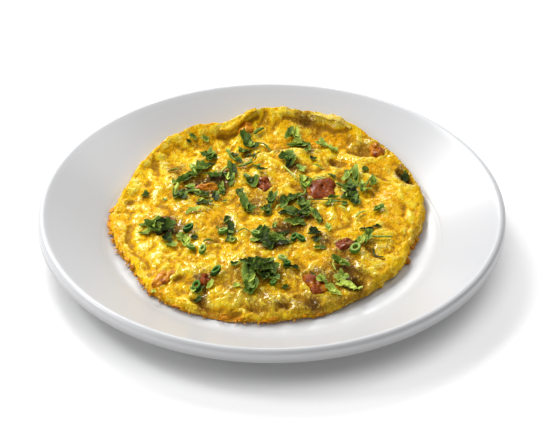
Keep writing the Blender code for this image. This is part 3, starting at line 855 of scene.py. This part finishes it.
# ---------------------------------------------------------------------------------------------
# The parsley: fresh flat-leaved parsley, coarsely chopped and strewn over the top, where it lies
# in the hollows, wilted by the heat. Every leaf is a thin closed shell with lobes and ruffles.
# ---------------------------------------------------------------------------------------------
# Leaves, in mm: x, y, half length, half width, turn in degrees, shade from 0 dark to 1 light.
LEAVES = (
    (-38, 72, 5, 4, 110, 0.25), (-35, 68, 4.5, 3.4, 20, 0.2), (-47, 87, 2.4, 1.5, 0, 0.5),
    (-39, 87, 3, 1.6, -20, 0.65), (-49, 84, 1.5, 1.2, 0, 0.05), (-22, 71, 2.8, 1.8, -30, 0.2),
    (-26, 76, 2.6, 1.6, 100, 0.6), (-19, 63, 3.4, 2, -20, 0.15), (-8, 72, 1.8, 1.3, 30, 0.65),
    (-14.5, 85, 6.5, 3.4, 112, 0.3), (-12, 80, 5, 3, 140, 0.2), (-16.5, 76, 4.4, 3.2, 60, 0.4),
    (-40, 57, 6, 4.6, 40, 0.4), (-44, 53, 4, 3.4, 60, 0.35), (-36, 61, 2.8, 2.5, 0, 0.15),
    (-46.5, 60, 2.8, 2, 100, 0.65), (-58, 56, 3.2, 2.2, -20, 0.25), (-49, 46.5, 7, 3.2, 42, 0.35),
    (-57, 41, 2.4, 2.1, 30, 0.7), (-55, 29, 5, 4.4, 30, 0.3), (-52, 27, 3.4, 3, 100, 0.15),
    (-47, 37, 4.6, 2.2, -50, 0.6), (-46, 32, 4.4, 2, -20, 0.45), (-73, 33, 2.9, 2.3, -15, 0.25),
    (-62, 27, 1.4, 1, 0, 0.7), (-33, 46.5, 6.6, 3, 12, 0.2), (-35, 49, 4, 2.4, 60, 0.35),
    (-23, 53, 7, 2.6, 96, 0.2), (-24, 44, 5, 2.6, 85, 0.25), (-26.5, 46, 4, 1.8, 100, 0.85),
    (-29, 35, 5.2, 2.3, 100, 0.4), (-39, 28.5, 4.6, 3.8, 20, 0.15), (-33, 27, 3.4, 3, 80, 0.2),
    (-38, 26, 2.2, 1.8, 20, 0.7), (-38.5, 19, 5, 2.2, -10, 0.2), (-42, 22, 2.4, 1.8, 30, 0.6),
    (-45, 12, 4.4, 2.2, 16, 0.75), (-27, 23, 1.6, 1, 0, 0.25), (-18, 30, 3.2, 2.6, 88, 0.25),
    (-15, 46, 3.6, 1.9, 110, 0.3), (-11.5, 41, 4.6, 4, 100, 0.35), (-8, 57, 2.8, 2, 0, 0.4),
    (-5, 52, 3.4, 1.6, -10, 0.1), (-16, 20, 6, 3, 100, 0.35), (-13, 14, 5, 3.4, 120, 0.3),
    (0, 23, 6, 3, 65, 0.3), (-3, 15, 5, 3.6, 110, 0.25),
    (10.5, 90, 6.4, 3, 82, 0.35), (15, 89, 5.6, 2.2, 96, 0.75), (15, 83, 5.6, 3.2, 10, 0.45),
    (21, 84, 3.2, 2.6, 60, 0.2), (21.5, 74, 4.6, 2, 62, 0.4), (25, 67, 2.2, 1.8, 0, 0.2),
    (31, 83, 4.4, 3.2, -20, 0.65), (36.5, 78.5, 5, 2.2, -22, 0.6), (9.5, 66, 5.4, 4.6, 30, 0.3),
    (11, 61, 3.4, 3, 80, 0.2), (17, 55.5, 3.6, 3.2, 70, 0.65), (27, 59, 3.2, 1.1, -5, 0.85),
    (19, 46, 5.4, 2.8, 80, 0.5), (20.5, 37, 5.6, 3, 95, 0.4), (13, 26, 4.8, 4.4, 30, 0.25),
    (8, 21, 4.4, 3.4, 60, 0.3), (18, 18, 5.2, 4.4, 100, 0.35), (45, 50, 7, 2.8, 72, 0.6),
    (49.5, 47, 8, 2.8, 95, 0.5), (47, 37, 8, 4.2, 85, 0.2), (45.5, 26, 5.2, 4.2, 40, 0.2),
    (48, 23, 4.4, 3.4, 110, 0.3), (55, 35, 5, 3.2, 60, 0.5), (60, 42, 6, 1.9, 74, 0.45),
    (53, 41, 3.4, 1.8, 120, 0.65), (56, 56, 2.8, 2.5, 0, 0.45), (36, 49, 4, 2, -58, 0.15),
    (36, 25, 3.4, 1.4, 12, 0.25), (35, 19.5, 4.4, 1.6, 10, 0.4), (42, 19, 3, 1.6, 40, 0.55),
    (62, 14, 4.4, 2.8, -10, 0.4),
    (-71, 2.5, 7, 3.2, -14, 0.5), (-73, -4.5, 5, 1.9, 4, 0.6), (-66, -2, 7.6, 4.4, -28, 0.2),
    (-60.5, -5.5, 5.4, 4.8, 20, 0.12), (-63, 1.5, 5, 2.6, 0, 0.3), (-60, -13, 4.6, 3.2, -55, 0.2),
    (-57.5, -18.5, 3.8, 2.2, -20, 0.6), (-51, -11, 4, 3, 40, 0.7), (-49, -16, 4.6, 3, 80, 0.75),
    (-44, -13, 2.2, 1.8, 0, 0.15), (-26, 3, 2.8, 2.2, 60, 0.25), (-23, -7, 5.4, 2.8, 85, 0.2),
    (-25, -15, 2.8, 2.2, 0, 0.2), (-22.5, -16, 2.5, 2, 40, 0.65), (-31, -3, 1.1, 0.9, 0, 0.5),
    (-8, -8, 3, 1.8, 20, 0.15), (-10, -17, 3.2, 2.2, 30, 0.7), (-3, -13, 5.4, 4, 60, 0.2),
    (4, -11.5, 7.4, 2.6, 34, 0.15), (3, -19, 6.4, 3.6, -8, 0.2), (-2, -21, 4.4, 3.4, 110, 0.25),
    (10, -19, 4.4, 1.5, 20, 0.45), (-14, -38, 5, 4.2, 10, 0.35), (78, 52, 3.4, 2.2, -60, 0.0), (-8, -36, 3, 2.4, 70, 0.25),
    (-12, -50, 12, 4.4, 93, 0.35), (-7, -45, 6, 4.6, 30, 0.15), (-4, -50, 5, 4, 80, 0.1), (-11.5, -61, 6.4, 4.4, 92, 0.5), (-5, -37, 6, 3.2, -20, 0.2),
    (-1, -43, 6, 4.4, -60, 0.12), (1, -50, 5.4, 3.6, -48, 0.25), (-21, -39, 2.6, 2, 30, 0.35),
    (-41, -58, 3.4, 2.8, 60, 0.25), (-44.5, -58.5, 3.4, 2, 100, 0.8), (-42, -65, 2.8, 1.6, 10, 0.2),
    (-19, -57, 2.6, 2.2, 30, 1.0), (-67, -60, 1.8, 1.4, 0, 1.0), (-35, -56, 3.2, 2.4, 80, 0.9),
    (13, 9.5, 8, 3.8, -14, 0.2), (20, 10, 5.4, 3.2, 30, 0.2), (13.5, 1, 5.8, 3.8, 5, 0.5),
    (26, 5.5, 6.6, 2.4, -64, 0.25), (2, -1, 3, 1.2, 70, 0.65), (33, -4, 4.8, 2, 95, 0.85),
    (25, -11, 4, 3.4, 30, 0.12), (26, -17, 3.6, 2.8, 90, 0.15), (27, -24, 3.6, 2.4, 0, 0.5),
    (51, -16, 4.6, 2.2, 62, 0.65), (55, -13, 5, 2.6, 64, 0.35), (55, -4, 4.2, 2.2, -8, 0.12),
    (61, -1, 2.6, 1.6, 0, 0.1), (39, -36, 5, 3, -20, 0.5), (29, -54, 4.6, 3.2, -70, 0.8),
    (34, -61, 4.8, 4, -10, 0.85), (40, -48, 4.6, 3.6, 60, 0.7), (41.5, -54, 6.4, 4.2, -30, 0.85),
    (48, -56, 4, 3, 10, 0.8), (8, -57, 2.4, 1.2, 30, 0.3), (9, -41, 3, 1.3, 0, 0.2),
    (14, -41, 3.2, 1.5, 10, 0.25), (24, -50, 1.6, 1.2, 0, 0.3),
)

# Cut stalks, in mm: the points each lies through, its width, and its shade.
STALKS = (
    (((-26, 77), (-25, 70), (-21, 63)), 1.6, 0.45), (((-20, 58), (-16, 57.5), (-12.5, 60), (-12, 63.5)), 2.0, 0.45),
    (((-15, 70), (-13, 72), (-10, 68), (-11, 65)), 1.5, 0.15), (((-10, 82), (-5, 81.5), (0, 75.5)), 1.1, 0.35),
    (((-10, 90), (-8, 93), (-5, 95.5)), 2.6, 0.3), (((-48, 62), (-47, 57), (-44, 50)), 2.4, 0.65),
    (((-57, 31.5), (-56, 35), (-55, 39.5)), 2.3, 1.0), (((-30, 51), (-27, 55), (-24, 59)), 1.6, 0.8),
    (((7, 58), (11, 51), (15, 44)), 1.0, 0.9), (((24, 40), (28, 40), (32, 41)), 1.0, 0.95),
    (((25, 45), (28.5, 42), (32, 41)), 1.0, 0.95), (((38, 39.5), (42, 38.5), (46, 36)), 2.4, 0.35),
    (((41, 35), (43, 30), (44, 26)), 1.3, 0.85), (((22, 23), (30, 21.5), (38, 22)), 0.9, 0.12),
    (((39, 16), (42, 14), (45, 11)), 1.1, 1.0), (((49, 6), (51, 9.5), (54, 12)), 1.5, 0.75),
    (((2.5, 14), (3.5, 17), (5, 20)), 1.0, 0.9), (((-39, -18.5), (-36.5, -16.5), (-33.5, -16.5)), 1.5, 0.45),
    (((-19.5, -9.5), (-16, -7), (-12, -9.5)), 0.9, 0.45), (((57, -12), (63, -12), (69.5, -10.5)), 1.7, 0.6),
    (((35.5, -35), (35, -39), (36.5, -43)), 0.9, 0.95), (((58, -21), (59.5, -27), (64, -29)), 1.2, 0.1),
    (((53, 33), (56, 41), (60, 48.5)), 1.3, 0.5), (((16, 12), (20, 15), (26, 20)), 1.1, 0.4),
    (((15, 23), (19, 28), (20, 34)), 1.2, 0.5), (((44, 20), (40, 21), (34, 19)), 1.0, 0.3),
)


class Pile:
    """Gathers closed shells into one mesh, with a shade from 0 to 1 at every vertex."""

    def __init__(self):
        self.points, self.faces, self.shades, self.count = [], [], [], 0

    def add(self, points, faces, shade):
        """Points in mm, the faces on them, and the shade at each point or at all."""
        self.points.append(points)
        self.faces += [[corner + self.count for corner in face] for face in faces]
        self.shades.append(np.broadcast_to(shade, len(points)))
        self.count += len(points)

    def mesh(self, name):
        made = bpy.data.meshes.new(name)
        made.from_pydata((np.concatenate(self.points) * MM).tolist(), [], self.faces)
        made.shade_smooth()
        add_attribute(made, "shade", np.concatenate(self.shades))
        return made


MAP_LOW = np.array((-100.0, -90.0))
MAP_STEP = 0.5


def height_map():
    """Heights of the omelette's top with the tomato on it, in mm, on a square grid."""
    x, y = np.meshgrid(np.arange(MAP_LOW[0], 101, MAP_STEP), np.arange(MAP_LOW[1], 116, MAP_STEP))
    height = egg_top(x, y)
    for name, tomato in TOMATO_PLACES.items():
        tomato_x, tomato_y, half_length, half_width, half_thickness, turn = tomato
        low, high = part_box(name)
        cos_turn, sin_turn = math.cos(math.radians(turn)), math.sin(math.radians(turn))
        along = ((x - tomato_x) * cos_turn + (y - tomato_y) * sin_turn) / (half_length * 1.05)
        across = ((y - tomato_y) * cos_turn - (x - tomato_x) * sin_turn) / (half_width * 1.05)
        dome = np.sqrt(np.clip(1 - along ** 2 - across ** 2, 0, 1))
        middle = (low.z + high.z) / 2 / MM
        height = np.where(dome > 0, np.maximum(height, middle + half_thickness * dome + 0.3), height)
    return height


TOP_HEIGHTS = height_map()


def lay(x, y):
    """Height of whatever is uppermost at a point of the top: the egg, or tomato on it."""
    column, row = (x - MAP_LOW[0]) / MAP_STEP, (y - MAP_LOW[1]) / MAP_STEP
    i, j = np.floor(column).astype(int), np.floor(row).astype(int)
    across, up = column - i, row - j
    near = TOP_HEIGHTS[j, i] * (1 - across) + TOP_HEIGHTS[j, i + 1] * across
    far = TOP_HEIGHTS[j + 1, i] * (1 - across) + TOP_HEIGHTS[j + 1, i + 1] * across
    return near * (1 - up) + far * up


def add_leaf(pile, draw, x, y, half_length, half_width, turn, shade, lift=0.0):
    """One lobed, ruffled leaf lying on the top, as a shell a quarter of a millimetre thick."""
    size = math.sqrt(half_length * half_width)
    rings, around = (6, 44) if size > 3 else (4, 28)
    theta = np.arange(around) * 2 * math.pi / around
    lobes = int(draw.integers(3, 6))
    phases = draw.uniform(0, 2 * math.pi, 6)
    outline = 0.72 + 0.48 * np.abs(np.cos(lobes * theta / 2 + phases[0])) ** 0.9
    outline += 0.11 * np.abs(np.cos(1.5 * lobes * theta + phases[1]))
    outline += 0.07 * np.cos(4 * lobes * theta + phases[2])
    for cut in range(2):
        facing = np.cos(theta - draw.uniform(0, 2 * math.pi))
        outline = np.minimum(outline, draw.uniform(0.45, 0.95) / np.maximum(facing, 0.05))
    rho = (np.arange(1, rings + 1) / rings)[:, None]
    along = np.append(((half_length * outline * np.cos(theta))[None, :] * rho).ravel(), 0.0)
    across = np.append(((half_width * outline * np.sin(theta))[None, :] * rho).ravel(), 0.0)
    out = np.append(np.broadcast_to(rho, (rings, around)).ravel(), 0.0)
    spin = np.append(np.tile(theta, rings), 0.0)
    fan = np.arctan2(across, along + 1.1 * half_length)
    veins = np.cos(draw.uniform(12, 17) * fan + phases[5])
    ruffle = 0.11 * size * out ** 2 * (1 + np.sin(lobes * spin + phases[3]))
    ruffle += 0.05 * size * out ** 3 * (1 + np.sin((2 * lobes + 1) * spin + phases[4]))
    fold = draw.uniform(0.1, 0.6) * np.abs(across)
    rise = ruffle + fold + draw.uniform(-0.3, 0.3) * along + 0.12 * veins * out
    cos_turn, sin_turn = math.cos(math.radians(turn)), math.sin(math.radians(turn))
    place_x = x + along * cos_turn - across * sin_turn
    place_y = y + along * sin_turn + across * cos_turn
    top = lay(place_x, place_y) + 0.4 + lift + rise - np.minimum(rise.min(), 0.0)
    count = len(top)
    thick = 0.13
    points = np.stack([np.tile(place_x, 2), np.tile(place_y, 2), np.append(top + thick, top - thick)], 1)
    faces = []
    for side in (0, 1):
        start = side * count
        grid = start + np.arange(rings * around).reshape(rings, around)
        inner, outer = grid[:-1], grid[1:]
        quads = np.stack([inner, outer, np.roll(outer, -1, 1), np.roll(inner, -1, 1)], -1).reshape(-1, 4)
        middle = start + count - 1
        centre = [[middle, int(grid[0, i]), int(grid[0, (i + 1) % around])] for i in range(around)]
        flat = quads.tolist() + centre
        faces += [face[::-1] for face in flat] if side else flat
    edge = np.arange((rings - 1) * around, rings * around)
    faces += np.stack([edge, edge + count, np.roll(edge, -1) + count, np.roll(edge, -1)], 1).tolist()
    lobe_shades = draw.uniform(-0.28, 0.28, lobes + 1)
    lobe = np.floor(((lobes * spin / 2 + phases[0]) / math.pi + 0.5) % lobes).astype(int)
    # Painted light: each leaf is lighter towards its edge and where it rises. The random lighter and darker lobes
    # and the veins are its own colour.
    light = shade + lobe_shades[lobe] * out + 0.16 * out ** 3 + 0.09 * veins
    light = light + 0.22 * (rise - rise.min()) / max(size, 1.0)
    pile.add(points, faces, np.clip(np.tile(light, 2), 0, 1))


def add_tube(pile, path, widths, flatness, shade, around=8):
    """A closed tube along a path of x, y and z, of the widths given, flattened by flatness."""
    points, faces = swept_roll(path, widths, flatness, around)
    # Painted light: the upper half of each tube is lighter, and the lower half darker.
    light = shade + 0.2 * np.tile(np.sin(np.arange(around) * 2 * math.pi / around), len(path))
    pile.add(points, faces, np.clip(light, 0, 1))


def herb_finish(name, dark, middle, pale):
    """Green of a herb, from its dark to its pale, with fine veins and a damp sheen."""
    herb = Finish(name)
    shade = herb.attribute("shade")
    mottle = herb.noise(1.4, 3.0, 0.6)
    light = shade + 0.5 * (mottle - 0.5)
    colour = herb.mix(light.ramp(0.12, 0.62), dark, middle)
    colour = herb.mix(light.ramp(0.55, 1.0), colour, pale)
    return herb.surface(
        base_color=colour,
        roughness=0.42 + 0.2 * mottle,
        normal=herb.bump(mottle, 0.25, 0.7),
        subsurface_weight=0.06,
        subsurface_radius=(0.5, 1.0, 0.2),
        subsurface_scale=0.001,
        specular_ior_level=0.25,
        ior=1.4,
    )


leaf_draw = np.random.default_rng(5)
leaf_pile = Pile()
for x, y, half_length, half_width, turn, shade in LEAVES:
    add_leaf(leaf_pile, leaf_draw, x, y, 0.94 * half_length, 0.94 * half_width, turn, shade)
    if half_length > 4.2:
        for part in range(1):
            away = leaf_draw.uniform(-0.5, 0.5, 2) * (half_length, half_width)
            size = leaf_draw.uniform(0.35, 0.5)
            add_leaf(leaf_pile, leaf_draw, x + away[0] * math.cos(math.radians(turn)),
                     y + away[0] * math.sin(math.radians(turn)) + 0.5 * away[1],
                     half_length * size, half_width * size * 1.3,
                     turn + leaf_draw.uniform(-70, 70), shade + leaf_draw.uniform(-0.1, 0.25),
                     lift=0.9)
parsley = herb_finish("parsley_green", (0.026, 0.042, 0.006), (0.14, 0.235, 0.018), (0.60, 0.72, 0.11))
leaf_mesh = leaf_pile.mesh("parsley_leaves")
leaf_mesh.set_sharp_from_angle(angle=math.radians(50))
leaves = add_piece("parsley_leaves", leaf_mesh, parsley)

stalk_pile = Pile()
for corners, width, shade in STALKS:
    path = smooth_path(corners, 8)
    part = np.linspace(0, 1, len(path))
    taper = 0.55 + 0.45 * np.sin(math.pi * np.clip(part, 0.08, 0.92)) ** 0.6
    height = lay(path[:, 0], path[:, 1]) + 0.9 + 0.25 * width + 0.5 * np.sin(math.pi * part)
    add_tube(stalk_pile, np.column_stack([path, height]), width * taper, 0.55, shade)
stalks = add_piece("parsley_stalks", stalk_pile.mesh("parsley_stalks"), parsley)

# ---------------------------------------------------------------------------------------------
# The spring onion: thin green tops cut across into short hollow rings, a few squashed or open.
# Each ring is a closed tube wall, dark green outside and pale at its cut faces.
# ---------------------------------------------------------------------------------------------
# In mm: x, y, half length, half width, wall, height, turn, tilt in degrees, shade.
ONION_RINGS = (
    (-48, -5.5, 3.1, 2.3, 1.0, 2.6, 10, 24, 0.1), (-46, -23, 2.6, 2.2, 1.1, 2.4, 30, -24, 0.5),
    (-39.5, -26.5, 2.4, 2.0, 1.0, 2.4, 60, 28, 0.5), (-28, -8, 2.9, 2.3, 1.1, 2.6, -30, 22, 0.5),
    (-9, -11.5, 2.8, 2.3, 1.1, 2.6, 20, -20, 0.6), (-31.5, -46, 3.0, 2.3, 1.0, 2.8, 25, 28, 0.2),
    (-42.5, -57, 3.0, 2.4, 1.0, 2.6, 70, 20, 0.2), (6.5, -36.5, 2.8, 2.4, 1.2, 2.4, 20, -24, 0.95),
    (1, -55.5, 2.0, 1.7, 0.8, 2.0, 0, 18, 0.35), (13, -14.5, 2.4, 2.0, 0.9, 2.2, 40, 26, 0.15),
    (17, -16.5, 2.6, 1.9, 0.8, 2.0, -30, -18, 0.25), (48, -25, 3.3, 3.0, 1.2, 2.6, 50, 14, 0.5),
    (9, -39.5, 2.0, 1.6, 0.8, 2.0, 0, 14, 0.15),
)


def add_ring(pile, x, y, half_length, half_width, wall, height, turn, tilt, shade):
    """One hollow ring standing on the top, with rounded cut edges."""
    steps = 28
    angle = np.arange(steps) * 2 * math.pi / steps
    profile = ((0, 0.12), (0, 0.88), (0.2, 1.0), (0.8, 1.0), (1, 0.88), (1, 0.12), (0.8, 0), (0.2, 0))
    cos_turn, sin_turn = math.cos(math.radians(turn)), math.sin(math.radians(turn))
    lean = math.tan(math.radians(tilt))
    base = float(lay(np.array([x]), np.array([y])).max()) + 0.2 + abs(lean) * half_length * 0.5
    rows = []
    for across_wall, level in profile:
        across_wall *= 1.25
        along = (half_length - wall * across_wall) * np.cos(angle)
        across = (half_width - wall * across_wall) * np.sin(angle)
        rows.append(np.stack([x + along * cos_turn - across * sin_turn,
                              y + along * sin_turn + across * cos_turn,
                              base + height * level + lean * along], 1))
    points = np.concatenate(rows)
    count = len(profile)
    grid = np.arange(count * steps).reshape(count, steps)
    after = np.roll(grid, -1, 0)
    faces = np.stack([grid, np.roll(grid, -1, 1), np.roll(after, -1, 1), after], -1).reshape(-1, 4)
    light = shade + np.repeat([0, 0, 0.3, 0.35, 0.2, 0.1, 0.3, 0.3], steps)
    pile.add(points, faces[:, ::-1].tolist(), np.clip(light, 0, 1))


ring_pile = Pile()
for ring in ONION_RINGS:
    add_ring(ring_pile, *ring)
onion = herb_finish("spring_onion_green", (0.02, 0.08, 0.016), (0.13, 0.31, 0.03), (0.52, 0.66, 0.15))
rings = add_piece("spring_onion_rings", ring_pile.mesh("spring_onion_rings"), onion)

# ---------------------------------------------------------------------------------------------
# The pepper: black pepper, ground coarsely over the omelette, in specks of half a millimetre.
# ---------------------------------------------------------------------------------------------
# Where it lies thickly, in mm: x, y, spread, specks.
PEPPER = ((0, 12, 55, 70), (70, -20, 6, 26), (-45, 84, 5, 16), (-66, 66, 7, 18), (-30, 5, 14, 14))

pepper_draw = np.random.default_rng(9)
pepper_pile = Pile()
for x, y, spread, specks in PEPPER:
    for speck in range(specks):
        turn, away = pepper_draw.uniform(0, 2 * math.pi), spread * math.sqrt(pepper_draw.uniform())
        size = pepper_draw.uniform(0.16, 0.36)
        speck_x, speck_y = x + away * math.cos(turn), y + away * math.sin(turn)
        corners = np.array([(1, 0, 0), (0, 1, 0), (-1, 0, 0), (0, -1, 0), (0, 0, 1), (0, 0, -1)], float)
        corners *= size * pepper_draw.uniform(0.7, 1.3, (6, 1))
        corners += (speck_x, speck_y, float(egg_top(speck_x, speck_y)) + 0.6 * size)
        sides = [(i, (i + 1) % 4, 4) for i in range(4)] + [((i + 1) % 4, i, 5) for i in range(4)]
        pepper_pile.add(corners, sides, pepper_draw.uniform(0, 1))


def pepper_finish():
    """Cracked peppercorn: nearly black, with brown grains."""
    pepper = Finish("black_pepper")
    grain = pepper.noise(0.3, 2.0)
    colour = pepper.mix(grain, (0.012, 0.008, 0.004), (0.09, 0.045, 0.015))
    return pepper.surface(base_color=colour, roughness=0.7, normal=pepper.bump(grain, 0.1))


pepper_mesh = pepper_pile.mesh("pepper_specks")
pepper = add_piece("pepper_specks", pepper_mesh, pepper_finish())

# ---------------------------------------------------------------------------------------------
# The crisp cheese: cheese that ran under the edge of the egg and fried to a brown lace, which
# stands out from the edge in strands and flakes.
# ---------------------------------------------------------------------------------------------
# Stretches of the edge, as angles in degrees about the omelette's middle, and for each the flakes
# and the strands on it and how large they are.
LACE = ((174, 190, 5, 6, 1.25), (190, 206, 4, 5, 1.1), (206, 236, 8, 9, 1.0), (236, 262, 7, 9, 1.0),
        (262, 290, 5, 4, 1.0), (334, 350, 4, 5, 1.2), (140, 156, 3, 2, 1.0))


def lace_finish():
    """Fried cheese: orange to dark brown, glassy with fat."""
    lace = Finish("fried_cheese")
    tone = (0.6 * lace.attribute("shade") + 0.6 * lace.noise(1.5, 2.0)).ramp(0.2, 0.9)
    colour = lace.mix(tone, (0.30, 0.08, 0.002), (0.80, 0.33, 0.002))
    return lace.surface(base_color=colour, roughness=0.4, specular_ior_level=0.1,
                        normal=lace.bump(lace.noise(0.6, 2.0), 0.15))


def edge_place(angle, out):
    """x, y and the height of the plate, in mm, at a distance out from the omelette's edge."""
    distance = egg_reach(np.asarray(angle, float)) + out
    x, y = EGG_CENTRE[0] + distance * np.cos(angle), EGG_CENTRE[1] + distance * np.sin(angle)
    return x, y, plate_top(np.hypot(x, y)) + GAP


def add_flake(pile, draw, angle, scale):
    """A ragged flake that clings to the edge, lying along it and drooping outward."""
    corners = 18
    length, width = scale * draw.uniform(1.2, 3.4), scale * draw.uniform(0.7, 1.5)
    level = scale * draw.uniform(0.8, 3.2)
    reach = float(egg_reach(np.array([angle]))[0])
    theta = np.arange(corners) * 2 * math.pi / corners
    ragged = draw.uniform(0.65, 1.25, corners)
    rows = []
    for share, thick in ((0.0, 0.22), (0.6, 0.2), (1.0, 0.0), (0.6, -0.2), (0.0, -0.22)):
        swing = angle + share * ragged * length * np.cos(theta) / reach
        out = 0.2 + share * ragged * width * np.sin(theta)
        x, y, low = edge_place(swing, out)
        droop = np.maximum(level - 0.5 * out + 0.3 * np.sin(2 * theta + angle) * share, 0.3)
        rows.append(np.stack([x, y, low + droop + thick], 1))
    rows[0], rows[-1] = rows[0][:1], rows[-1][:1]
    points = np.concatenate(rows)
    first, after = np.arange(corners), np.roll(np.arange(corners), -1)
    faces = np.stack([np.zeros(corners, int), 1 + first, 1 + after], 1).tolist()
    for row in (1, 1 + corners):
        faces += np.stack([row + first, row + corners + first, row + corners + after, row + after],
                          1).tolist()
    last = 1 + 3 * corners
    faces += np.stack([last - corners + first, np.full(corners, last), last - corners + after],
                      1).tolist()
    pile.add(points, faces, np.clip(draw.uniform(0.1, 0.9), 0, 1))


lace_draw = np.random.default_rng(12)
lace_pile = Pile()
for start, end, flakes, strands, scale in LACE:
    for flake in range(flakes):
        add_flake(lace_pile, lace_draw, math.radians(lace_draw.uniform(start, end)), scale)
    for strand in range(strands):
        angle = math.radians(lace_draw.uniform(start, end))
        length, lean = scale * lace_draw.uniform(0.8, 2.6), lace_draw.uniform(-0.022, 0.022)
        part = np.linspace(0, 1, 7)
        x, y, low = edge_place(angle + lean * part ** 2, (length + 1.5) * part - 1.5)
        droop = lace_draw.uniform(0.6, 3.0) * (scale - 0.5 * part) + lace_draw.uniform(-0.5, 0.8) * part
        widths = lace_draw.uniform(0.9, 1.7) * (1.0 - 0.6 * part ** 2)
        path = np.stack([x, y, low + np.maximum(droop, 0.5)], 1)
        add_tube(lace_pile, path, widths, 0.5, lace_draw.uniform(0, 1))
lace = add_piece("crisp_cheese", lace_pile.mesh("crisp_cheese"), lace_finish())

# ---------------------------------------------------------------------------------------------
# The table, the light and the camera.
# ---------------------------------------------------------------------------------------------
FLOOR_HALF = 6.0
floor_mesh = bpy.data.meshes.new("table_top")
floor_mesh.from_pydata([(-FLOOR_HALF, -FLOOR_HALF, 0), (FLOOR_HALF, -FLOOR_HALF, 0),
                        (FLOOR_HALF, FLOOR_HALF, 0), (-FLOOR_HALF, FLOOR_HALF, 0)], [], [(0, 1, 2, 3)])
table_finish = Finish("white_table")
table_place = table_finish.node("ShaderNodeVectorMath", {"operation": "LENGTH"},
                                {0: table_finish.place()}, output=1)
# The table glows fully away from the plate and hardly at all near it: a painted shadow round and under the plate.
glow_with_painted_shadow = 0.05 + 0.50 * table_place.ramp(0.118, 0.146)
floor_mesh.materials.append(table_finish.surface(
    base_color=(0.62, 0.62, 0.62), roughness=0.8, specular_ior_level=0.0,
    emission_color=table_finish.mix(glow_with_painted_shadow, (0.0, 0.0, 0.0), (1.0, 1.0, 1.0)), emission_strength=1.0))
table = bpy.data.objects.new("table_top", floor_mesh)
bpy.context.scene.collection.objects.link(table)
table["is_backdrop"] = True

world = bpy.data.worlds.new("studio")
world.use_nodes = True
bpy.context.scene.world = world
sky = world.node_tree.nodes["Background"]
sky.inputs["Color"].default_value = (1.0, 1.0, 1.0, 1.0)
sky.inputs["Strength"].default_value = 0.28


def add_panel(name, azimuth, elevation, distance, size, power):
    """A soft light panel, facing the plate: its direction in degrees, its place and size in m."""
    light = bpy.data.lights.new(name, "AREA")
    light.shape = "RECTANGLE"
    light.size, light.size_y = size
    light.energy = power
    panel = bpy.data.objects.new(name, light)
    around, up = math.radians(azimuth), math.radians(elevation)
    toward = Vector((math.cos(around) * math.cos(up), math.sin(around) * math.cos(up), math.sin(up)))
    panel.location = distance * toward
    panel.rotation_euler = toward.to_track_quat("Z", "Y").to_euler()
    bpy.context.scene.collection.objects.link(panel)


add_panel("left_panel", 165, 45, 1.6, (0.4, 0.4), 8.8)
add_panel("rear_left_panel", 116, 42, 1.6, (0.5, 0.5), 17.0)
add_panel("low_left_panel", 200, 30, 1.6, (0.5, 0.5), 3.5)
add_panel("rear_panel", 88, 24, 1.6, (0.6, 0.4), 3.6)
add_panel("right_panel", 45, 50, 1.6, (0.5, 0.5), 3.0)

CAMERA_DISTANCE = 2.0
CAMERA_ELEVATION = math.radians(35.3)
CAMERA_LENS = 229.85
AIM = Vector((0.0, 0.0, 0.0227))
camera = bpy.data.objects.new("camera", bpy.data.cameras.new("camera"))
camera.data.lens = CAMERA_LENS
camera.data.sensor_width = 36.0
back = Vector((0.0, -math.cos(CAMERA_ELEVATION), math.sin(CAMERA_ELEVATION)))
camera.location = AIM + CAMERA_DISTANCE * back
camera.rotation_euler = (-back).to_track_quat("-Z", "Y").to_euler()
bpy.context.scene.collection.objects.link(camera)
bpy.context.scene.camera = camera
bpy.context.scene.view_settings.view_transform = "Standard"

low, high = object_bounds()
